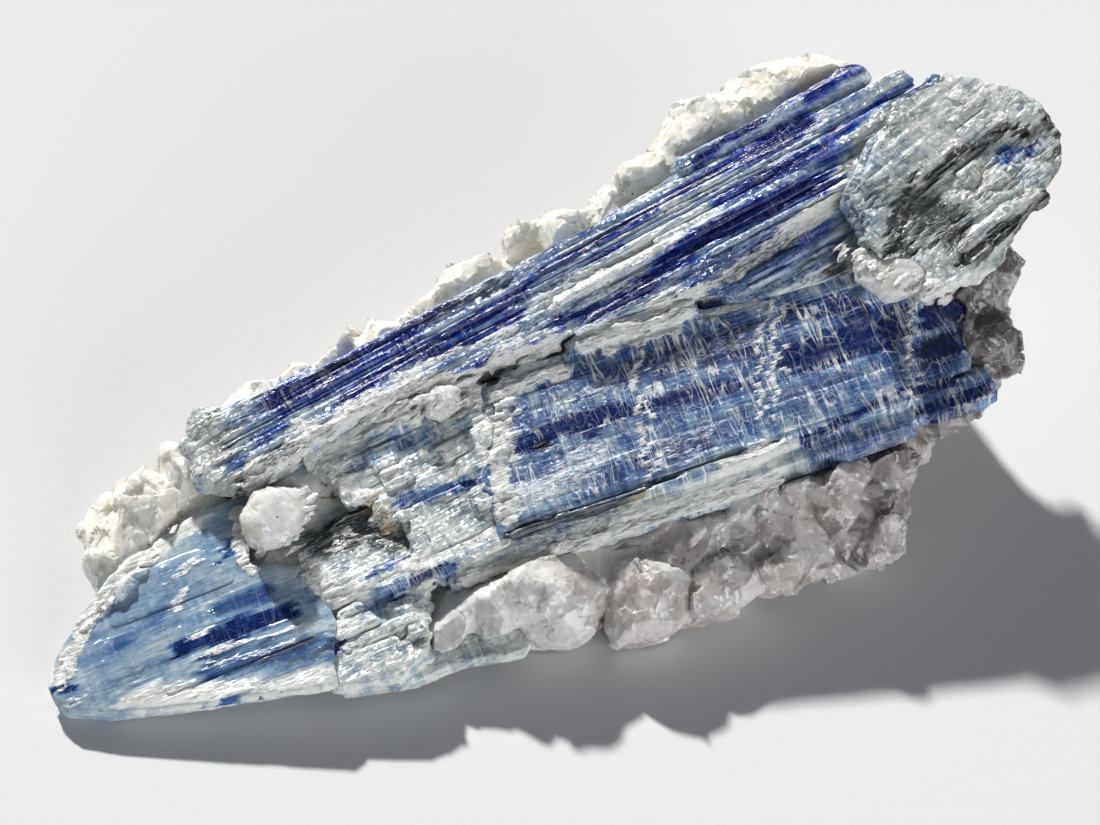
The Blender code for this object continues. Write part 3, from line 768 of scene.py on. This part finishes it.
def facet_keys(node, points, seed):
    """A number from 0 to 1 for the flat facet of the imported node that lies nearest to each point."""
    rows = []
    for point in points:
        spot, normal, _, _ = TREES[node].find_nearest(Vector(point))
        rows.append((*normal, normal.dot(spot)))
    rows = np.floor(np.array(rows) * (12.0, 12.0, 12.0, 1.5) + 0.5)
    return scramble(*rows.T, seed)


# The quartz's two levels of facets: their share of the grain size, how flat, and how far they step apart.
QUARTZ_LEVELS = ((1.0, 0.95, 0.22), (0.45, 0.8, 0.16))
# The furthest that a point of the quartz moves, as a share of the grain size.
QUARTZ_REACH = 0.14


def shape_quartz(node, seed, voxel, size, melt):
    """Quartz's fine surface: rounded a little, then broken into flat facets at two levels."""
    thing, points, faces = remeshed(node, Matrix.Identity(4), 1.0, voxel)
    facet = facet_keys(node, points, seed)
    points = softened(points, faces, melt)
    swell = np.stack([noise(points / size, seed + k) for k in range(3)], 1)
    points += 0.04 * size * swell
    solid = points.copy()
    crease = np.full(len(points), 9.0)
    keys = []
    for part, share, step in QUARTZ_LEVELS:
        normals = softened(point_normals(points, faces), faces, 1)
        bits, _ = cells(points / (part * size), seed + 10)
        points += normals * (step * part * size * (bits - 0.45))[:, None]
        points, key, gap = planed(points, normals, points, part * size, share, seed + 10)
        crease = np.minimum(crease, gap / (0.1 + 0.15 * part))
        keys.append(key)
        seed += 20
    move = points - solid
    length = np.linalg.norm(move, axis=1, keepdims=True)
    points = solid + move * np.minimum(1.0, QUARTZ_REACH * size / (length + 1e-9))
    # Painted shade: how far each point faces the back and beneath, which the material darkens.
    facing = softened(point_normals(points, faces), faces, 6) @ BACK_SHADE_SIDE
    store(thing, points, Matrix.Identity(4), QUARTZ_CREASE)
    keep_field(thing, "back_shade", smooth(facing, -0.1, 0.35), 0.0 * facing, 0.0 * facing)
    keep_field(thing, "blade", *points.T)
    keep_field(thing, "grain", facet, keys[-1], 1.0 - smooth(crease, 0.0, 1.0))
    thin_out(thing, QUARTZ_CREASE)
    return thing


# Each quartz node: noise seed, grid and grain size in mm, and rounds of smoothing.
QUARTZ = {
    "quartz_matrix": dict(seed=700, voxel=0.28, size=4.8, melt=1),
    "cream_grain_left": dict(seed=740, voxel=0.14, size=1.8, melt=8),
    "cream_grain_middle": dict(seed=760, voxel=0.1, size=1.4, melt=6),
    "cream_patch_right": dict(seed=780, voxel=0.12, size=1.4, melt=6),
}


# -------- materials
class Recipe:
    """One material's nodes, put together by short calls that each give back a socket."""

    def __init__(self, name):
        self.material = bpy.data.materials.new(name)
        self.material.use_nodes = True
        self.tree = self.material.node_tree
        self.shader = self.tree.nodes["Principled BSDF"]

    def add(self, kind, inputs=(), **settings):
        node = self.tree.nodes.new(kind)
        for name, value in settings.items():
            setattr(node, name, value)
        for key, value in dict(inputs).items():
            if isinstance(value, bpy.types.NodeSocket):
                self.tree.links.new(value, node.inputs[key])
            else:
                node.inputs[key].default_value = value
        return node

    def field(self, name):
        return self.add("ShaderNodeAttribute", attribute_name=name).outputs["Vector"]

    def surface(self):
        return self.add("ShaderNodeNewGeometry").outputs["Normal"]

    def parts(self, vector):
        return self.add("ShaderNodeSeparateXYZ", {"Vector": vector}).outputs

    def vectors(self, operation, first, second):
        return self.add("ShaderNodeVectorMath", {0: first, 1: second}, operation=operation).outputs[0]

    def numbers(self, operation, first, second):
        return self.add("ShaderNodeMath", {0: first, 1: second}, operation=operation).outputs[0]

    def stretched(self, vector, scale):
        """The vector times a scale, which is one number or one for each of its parts."""
        scale = (scale,) * 3 if isinstance(scale, float) else scale
        return self.vectors("MULTIPLY", vector, scale)

    def texture(self, kind, vector, scale, inputs=(), **settings):
        inputs = {"Vector": self.stretched(vector, scale), "Scale": 1.0, **dict(inputs)}
        return self.add(kind, inputs, **settings).outputs

    def noise(self, vector, scale, detail=3.0, roughness=0.55):
        inputs = {"Detail": detail, "Roughness": roughness}
        return self.texture("ShaderNodeTexNoise", vector, scale, inputs)["Fac"]

    def seam_lines(self, vector, scale, width, detail=3.0):
        """Thin wavering lines, where a noise crosses its middle."""
        gap = self.sum(self.noise(vector, scale, detail), -0.5)
        gap = self.add("ShaderNodeMath", {0: gap}, operation="ABSOLUTE").outputs[0]
        return self.span(gap, 0.0, width, 1.0, 0.0)

    def bent(self, vector, scale, reach):
        """The place, pushed about by a smooth noise."""
        push = self.texture("ShaderNodeTexNoise", vector, scale, {"Detail": 2.0})["Color"]
        push = self.vectors("SUBTRACT", push, (0.5, 0.5, 0.5))
        return self.vectors("ADD", vector, self.stretched(push, reach))

    def walls(self, vector, scale, width):
        """Thin lines between the cells of a net."""
        gap = self.texture("ShaderNodeTexVoronoi", vector, scale, feature="DISTANCE_TO_EDGE")["Distance"]
        return self.span(gap, 0.0, width, 1.0, 0.0)

    def spots(self, vector, scale):
        return self.texture("ShaderNodeTexVoronoi", vector, scale)["Distance"]

    def facets(self, vector, scale, tilt, normal, amount=1.0, sparse=True):
        """A normal turned another way in each small cell; tilt is how far, in all or along x, y and z.

        amount scales the turn. Where it is sparse, most cells hardly turn and a few turn far.
        """
        turn = self.texture("ShaderNodeTexVoronoi", vector, scale)["Color"]
        turn = self.vectors("SUBTRACT", turn, (0.5, 0.5, 0.5))
        if sparse:
            turn = self.stretched(self.stretched(self.stretched(turn, turn), turn), 4.0)
        turn = self.stretched(turn, tilt)
        turn = self.add("ShaderNodeVectorMath", {0: turn, "Scale": amount}, operation="SCALE").outputs[0]
        total = self.vectors("ADD", normal, turn)
        return self.add("ShaderNodeVectorMath", {0: total}, operation="NORMALIZE").outputs[0]

    def sum(self, first, second):
        return self.numbers("ADD", first, second)

    def product(self, first, second):
        return self.numbers("MULTIPLY", first, second)

    def most(self, first, second):
        return self.numbers("MAXIMUM", first, second)

    def span(self, value, low, high, start=0.0, end=1.0):
        """Turns the values from low to high into start to end, smoothly."""
        inputs = {"Value": value, "From Min": low, "From Max": high, "To Min": start, "To Max": end}
        return self.add("ShaderNodeMapRange", inputs, interpolation_type="SMOOTHSTEP").outputs["Result"]

    def ramp(self, value, colors):
        """The evenly spaced colour that a value from 0 to 1 picks."""
        node = self.add("ShaderNodeValToRGB", {"Fac": value})
        elements = node.color_ramp.elements
        last = len(colors) - 1
        for place in range(1, last):
            elements.new(place / last)
        for element, color in zip(elements, colors):
            element.color = (*color, 1.0)
        return node.outputs["Color"]

    def mix(self, amount, first, second):
        node = self.add("ShaderNodeMix", {0: amount}, data_type="RGBA")
        for socket, value in ((node.inputs[6], first), (node.inputs[7], second)):
            if isinstance(value, tuple):
                socket.default_value = (*value, 1.0)
            else:
                self.tree.links.new(value, socket)
        return node.outputs[2]

    def bump(self, height, strength, distance, normal):
        inputs = {"Height": height, "Strength": strength, "Distance": distance, "Normal": normal}
        return self.add("ShaderNodeBump", inputs).outputs["Normal"]

    def drive(self, name, source):
        self.tree.links.new(source, self.shader.inputs[name])

    def fix(self, **values):
        for name, value in values.items():
            self.shader.inputs[name.replace("_", " ")].default_value = value


# Kyanite's colour, from the pale parts to the deep blue bands: a vivid run and a slatier one.
COBALT = (
    (0.80, 0.83, 0.81),
    (0.42, 0.53, 0.62),
    (0.16, 0.29, 0.53),
    (0.04, 0.13, 0.47),
    (0.002, 0.035, 0.38),
    (0.001, 0.012, 0.15),
)
SLATE = (
    (0.84, 0.86, 0.83),
    (0.46, 0.57, 0.63),
    (0.19, 0.32, 0.49),
    (0.065, 0.155, 0.36),
    (0.014, 0.065, 0.27),
    (0.003, 0.018, 0.12),
)

# Kyanite's other colours: dull parts, gaps between fibres, dark seams and painted shadow, chalky breaks in
# two tones, stains.
DULL_GREY = (0.25, 0.28, 0.25)
FIBRE_GAP = (0.03, 0.05, 0.09)
DARK_SEAM_AND_SHADE = (0.022, 0.026, 0.03)
CHALK = ((1.0, 0.99, 0.94), (0.89, 0.90, 0.86))
IRON_STAIN = (0.62, 0.50, 0.32)


def kyanite_look(name, base, streak, net, dull, glitter, thread, bend, gloss, strand=3.0, tones=SLATE):
    """Kyanite: base is how blue it is between its bands and streak how much that varies from fibre to fibre.

    net is how much it is cross-cracked, dull how grey, glitter how far its small facets turn, thread how
    white its fibres are, bend how wavy they run, gloss the roughness of its clear parts, and strand how many
    facets there are to a millimetre of length.
    """
    look = Recipe(name)
    spot = look.field("blade")
    blue, frost, dark = look.parts(look.field("marks"))
    warm, light, _ = look.parts(look.field("tints"))
    wavy = look.bent(spot, (0.12, 0.25, 0.25), bend)
    streaks = look.noise(wavy, (0.04, 0.8, 0.8))
    fibres = look.noise(wavy, (0.10, 3.0, 3.0), 3.0, 0.6)
    hairs = look.noise(wavy, (0.35, 8.0, 8.0), 3.0, 0.6)
    clouds = look.noise(spot, (0.14, 0.3, 0.3))
    grit = look.noise(spot, (1.5, 4.5, 4.5), 3.0, 0.7)
    clear = look.span(blue, 0.15, 0.7, 1.0, 0.0)

    patchy = look.span(look.noise(spot, (0.35, 0.5, 0.5)), 0.3, 0.7, 0.72, 1.08)
    tone = look.product(look.product(blue, 0.95), patchy)
    tone = look.sum(tone, look.span(streaks, 0.3, 0.7, base - 0.18 * streak, base + 0.18 * streak))
    tone = look.sum(tone, look.span(fibres, 0.3, 0.7, -0.15 * streak, 0.15 * streak))
    tone = look.sum(tone, look.span(clouds, 0.3, 0.7, -0.1, 0.1))
    crossing = look.noise(spot, (0.9, 0.12, 0.12))
    tone = look.sum(tone, look.span(crossing, 0.3, 0.7, -0.2 * net, 0.2 * net))
    tone = look.sum(tone, look.product(light, -0.5))
    color = look.ramp(tone, tones)
    grey = look.product(look.span(clouds, 0.35, 0.65, 0.0, dull), clear)
    color = look.mix(grey, color, DULL_GREY)
    color = look.mix(look.span(hairs, 0.34, 0.44, 0.5 * streak, 0.0), color, FIBRE_GAP)
    # Dark seams and painted shadow: the dark marks, with the fibres, darken the colour.
    shade = look.sum(look.product(dark, 1.1), look.span(fibres, 0.35, 0.7, -0.35, 0.2))
    color = look.mix(look.span(shade, 0.0, 0.9, 0.0, 0.92), color, DARK_SEAM_AND_SHADE)

    threads = look.span(fibres, 0.57, 0.64, 0.0, 0.55)
    threads = look.most(threads, look.span(hairs, 0.58, 0.65, 0.0, 0.75))
    threads = look.product(look.product(threads, clear), thread)
    bowed = look.bent(spot, 0.4, 0.7)
    fading = look.span(look.noise(spot, (0.3, 0.5, 0.5)), 0.35, 0.6, 0.1, 1.0)
    wide = look.seam_lines(spot, (0.45, 0.06, 0.06), 0.02, 2.0)
    narrow = look.product(look.seam_lines(bowed, (1.3, 0.22, 0.22), 0.035, 1.0), 0.6)
    block = look.product(look.walls(bowed, (0.55, 0.4, 0.4), 0.03), 0.6)
    cracks = look.product(look.most(look.most(wide, narrow), block), fading)
    cracks = look.product(cracks, look.span(blue, 0.6, 1.0, net, 0.35 * net))
    cracks = look.product(cracks, look.span(dark, 0.1, 0.6, 1.0, 0.0))
    white = look.sum(look.product(frost, 1.15), look.span(grit, 0.3, 0.7, -0.5, 0.3))
    white = look.span(look.sum(white, look.product(dark, -0.5)), 0.1, 0.9)
    pale = look.most(look.most(threads, cracks), look.product(white, 0.92))
    chalk = look.span(look.noise(spot, (0.9, 1.8, 1.8), 3.0, 0.65), 0.35, 0.65)
    color = look.mix(pale, color, look.mix(chalk, *CHALK))
    stain = look.span(look.sum(warm, look.span(clouds, 0.4, 0.7, -0.4, 0.12)), 0.1, 0.8, 0.0, 0.8)
    color = look.mix(stain, color, IRON_STAIN)
    look.drive("Base Color", color)
    look.drive("Roughness", look.span(pale, 0.0, 1.0, gloss, gloss + 0.35))

    height = look.sum(look.product(fibres, 0.6 * streak), look.product(hairs, 0.4 * streak))
    height = look.sum(height, look.product(grit, look.span(frost, 0.0, 1.0, 0.15, 1.6)))
    normal = look.facets(spot, (0.09, 0.5, 0.5), (0.04, 0.16, 0.1), look.surface(), sparse=False)
    tilt = (0.8 * glitter, 2.4 * glitter, 0.8 * glitter)
    sparkle = look.span(blue, 0.3, 0.8, 1.0, 0.25)
    normal = look.facets(spot, (strand, 4.5, 4.5), tilt, normal, sparkle)
    crumbs = look.product(look.span(frost, 0.3, 0.9), 0.6)
    normal = look.facets(spot, (2.2, 3.0, 3.0), 0.9, normal, crumbs, sparse=False)
    look.drive("Normal", look.bump(height, 1.0, 0.00014, normal))
    look.fix(IOR=1.6, Specular_IOR_Level=0.33)
    look.fix(Subsurface_Weight=0.12, Subsurface_Scale=0.0006, Subsurface_Radius=(0.5, 0.7, 1.0))
    return look.material


# Where the picture shows a bright cleaved block at the quartz's front, and where its edge fades, in mm.
CLEAVED_PIXEL = (462, 607)
CLEAVED_EDGE = (2.6, 3.4)
# Where along x, in mm, the quartz turns white to the left, smoky and darker with painted shade to the right
# and dark with painted shade in the lobe at its right end, and where along y it turns cream to the back.
WHITE_FROM = (-6.0, -12.0)
SMOKY_SHADE_FROM = (6.0, 18.0)
LOBE_SHADE_FROM = (30.0, 36.0)
CREAM_FROM = (-6.0, 6.0)
# Quartz's colours, each in two tones: milky, smoky with painted shade, cream, and the painted shade on the
# back and underside.
MILKY = ((0.96, 0.93, 0.90), (0.68, 0.615, 0.58))
SMOKY_AND_SHADE = ((0.72, 0.67, 0.64), (0.32, 0.285, 0.27))
CREAM = ((1.0, 0.97, 0.90), (0.92, 0.88, 0.77))
BACK_SHADE_TONES = ((0.54, 0.52, 0.48), (0.38, 0.34, 0.28))
# Its left end, the painted shade of the lobe at its right end, its stains, its cracks with a painted
# highlight on the facet edges, the cleaved block partly painted as sunlit, and its specks.
LEFT_WHITE = (0.98, 0.95, 0.91)
LOBE_PAINTED_SHADE = (0.19, 0.175, 0.17)
QUARTZ_STAIN = (0.66, 0.54, 0.36)
CRACK_AND_EDGE_GLINT_WHITE = (0.98, 0.97, 0.96)
CLEAVED_MILK_AND_LIGHT = (1.0, 0.98, 0.94)
SPECK = (0.05, 0.045, 0.04)


def quartz_look(name, creamy):
    """Quartz: glassy broken faces, each its own shade. creamy is how cream it is all over, from 0 to 1."""
    look = Recipe(name)
    spot = look.field("blade")
    coarse, fine, crease = look.parts(look.field("grain"))
    x, y, _ = look.parts(spot)
    clouds = look.noise(spot, 0.16)
    veils = look.noise(spot, 0.4, 4.0, 0.6)
    cracks = look.walls(look.bent(spot, 0.5, 1.0), 0.35, 0.012)
    edge = look.span(clouds, 0.3, 0.7, -6.0, 6.0)
    back = look.most(look.span(look.sum(y, edge), *CREAM_FROM), creamy)
    right = look.span(look.sum(x, edge), *SMOKY_SHADE_FROM)
    level = look.sum(look.product(coarse, 0.7), look.product(fine, 0.3))
    level = look.span(look.sum(level, look.span(veils, 0.3, 0.7, -0.2, 0.2)), 0.15, 0.85)
    milky = look.mix(look.span(x, *WHITE_FROM), look.mix(level, *MILKY), LEFT_WHITE)
    # Darker to the right: partly the quartz's smoky tone, partly painted shade, and painted shade in the lobe
    # under the right end blade.
    smoky_and_shade = look.mix(look.span(x, *LOBE_SHADE_FROM), look.mix(level, *SMOKY_AND_SHADE), LOBE_PAINTED_SHADE)
    color = look.mix(back, look.mix(right, milky, smoky_and_shade), look.mix(level, *CREAM))
    stain = look.span(look.noise(spot, 0.3), 0.52, 0.72, 0.0, 0.35)
    color = look.mix(look.product(stain, back), color, QUARTZ_STAIN)
    # The cracks are white, and the facet edges are whitened as a painted highlight along their crests.
    pale = look.most(look.product(crease, 0.4), look.product(cracks, 0.4))
    color = look.mix(pale, color, CRACK_AND_EDGE_GLINT_WHITE)
    # A white patch on the cleaved block: partly milky quartz, partly painted sunlight on its face.
    block = {0: spot, 1: seen_point(CLEAVED_PIXEL)}
    reach = look.add("ShaderNodeVectorMath", block, operation="DISTANCE").outputs["Value"]
    color = look.mix(look.span(reach, *CLEAVED_EDGE, 1.0, 0.0), color, CLEAVED_MILK_AND_LIGHT)
    # Painted shade on the back and underside, varied with a rusty tone.
    back_shade, _, _ = look.parts(look.field("back_shade"))
    back_shade_tone = look.mix(look.span(veils, 0.4, 0.65), *BACK_SHADE_TONES)
    color = look.mix(look.product(back_shade, 0.85), color, back_shade_tone)
    specks = look.span(look.spots(spot, 0.4), 0.04, 0.06, 0.8, 0.0)
    color = look.mix(specks, color, SPECK)
    look.drive("Base Color", color)
    look.drive("Roughness", look.span(pale, 0.0, 0.8, 0.04, 0.3))
    normal = look.facets(spot, 0.5, 0.3, look.surface(), sparse=False)
    normal = look.facets(spot, 2.0, 0.6, normal)
    look.drive("Normal", look.bump(veils, 0.5, 0.0002, normal))
    look.drive("Transmission Weight", look.span(look.most(pale, back), 0.0, 0.6, 0.22, 0.03))
    look.fix(IOR=1.54, Subsurface_Weight=0.45 + 0.4 * creamy)
    look.fix(Subsurface_Scale=0.0025 + 0.0025 * creamy, Subsurface_Radius=(1.0, 0.95, 0.9))
    return look.material


PAPER_COLOR = (0.757, 0.757, 0.763, 1.0)


def paper_look():
    look = Recipe("paper")
    place = look.add("ShaderNodeTexCoord").outputs["Object"]
    grain = look.noise(place, 900.0, 4.0, 0.6)
    look.drive("Normal", look.bump(grain, 0.25, 0.0001, look.surface()))
    look.fix(Base_Color=PAPER_COLOR, Roughness=0.85, Specular_IOR_Level=0.2)
    return look.material


# -------- build
KYANITE_LOOKS = {
    "long_blade_bundle": dict(
        base=0.31, streak=1.0, net=0.35, dull=0.2, glitter=0.5, thread=0.75, bend=0.6, gloss=0.2,
        tones=COBALT,
    ),
    "broad_blade": dict(
        base=0.62, streak=0.5, net=0.9, dull=0.15, glitter=0.2, thread=0.35, bend=0.6, gloss=0.3,
    ),
    "right_end_blade": dict(
        base=0.05, streak=0.8, net=0.8, dull=0.8, glitter=0.3, thread=0.8, bend=7.0, gloss=0.3,
    ),
    "left_end_blade": dict(
        base=0.27, streak=0.35, net=0.2, dull=0.0, glitter=0.15, thread=0.3, bend=1.5, gloss=0.14, strand=2.0,
    ),
    "broken_step_blades": dict(
        base=0.09, streak=0.8, net=0.8, dull=0.25, glitter=0.35, thread=0.8, bend=1.5, gloss=0.25,
    ),
}


def place_piece(thing, node, finish):
    thing.data.materials.clear()
    thing.data.materials.append(finish)
    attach(thing, "root")
    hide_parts(node)


def make_specimen():
    for node, settings in KYANITE.items():
        thing = shape_kyanite(node, **settings)
        place_piece(thing, node, kyanite_look(node + "_look", **KYANITE_LOOKS[node]))
    matrix_look = quartz_look("quartz_look", 0.0)
    cream_look = quartz_look("cream_look", 0.9)
    for node, settings in QUARTZ.items():
        thing = shape_quartz(node, **settings)
        place_piece(thing, node, matrix_look if node == "quartz_matrix" else cream_look)


def make_camera():
    data = bpy.data.cameras.new("view")
    data.lens = LENS
    data.sensor_width = SENSOR
    data.clip_start = 0.01
    data.clip_end = 10.0
    data.shift_x = (PHOTO_WIDTH / 2 - TARGET_PIXEL[0]) / PHOTO_WIDTH
    data.shift_y = (TARGET_PIXEL[1] - PHOTO_HEIGHT / 2) / PHOTO_WIDTH
    camera = new_object("view", data)
    turn = Matrix((RIGHT, UP, BACK)).transposed().to_4x4()
    camera.matrix_world = Matrix.Translation((EYE + LAYOUT_SHIFT) * MM) @ turn
    bpy.context.scene.camera = camera


# Each light's direction, strength, colour and width in degrees. The sun stands behind the object.
LAMPS = {
    "sun": (Vector((0.115, 1.646, 1.0)), 5.45, (1.0, 0.99, 0.97), 3.0),
    "fill": (Vector((0.2, -1.0, 0.12)), 2.7, (0.98, 0.985, 1.0), 50.0),
}
SKY_COLOR = (0.74, 0.84, 1.0, 1.0)
SKY_STRENGTH = 0.07
FLOOR_CORNERS = ((-1.5, -1.5, 0.0), (1.5, -1.5, 0.0), (1.5, 1.5, 0.0), (-1.5, 1.5, 0.0))


def make_stage():
    mesh = bpy.data.meshes.new("floor")
    mesh.from_pydata(FLOOR_CORNERS, [], [(0, 1, 2, 3)])
    mesh.materials.append(paper_look())
    floor = new_object("floor", mesh)
    for name, (source, energy, color, angle) in LAMPS.items():
        light = bpy.data.lights.new(name, "SUN")
        light.energy = energy
        light.color = color
        light.angle = math.radians(angle)
        new_object(name, light).rotation_euler = source.to_track_quat("Z", "Y").to_euler()
    world = bpy.data.worlds.new("studio")
    world.use_nodes = True
    sky = world.node_tree.nodes["Background"].inputs
    sky["Color"].default_value = SKY_COLOR
    sky["Strength"].default_value = SKY_STRENGTH
    bpy.context.scene.world = world
    bpy.context.scene.view_settings.view_transform = "Standard"


make_camera()
make_stage()
make_specimen()
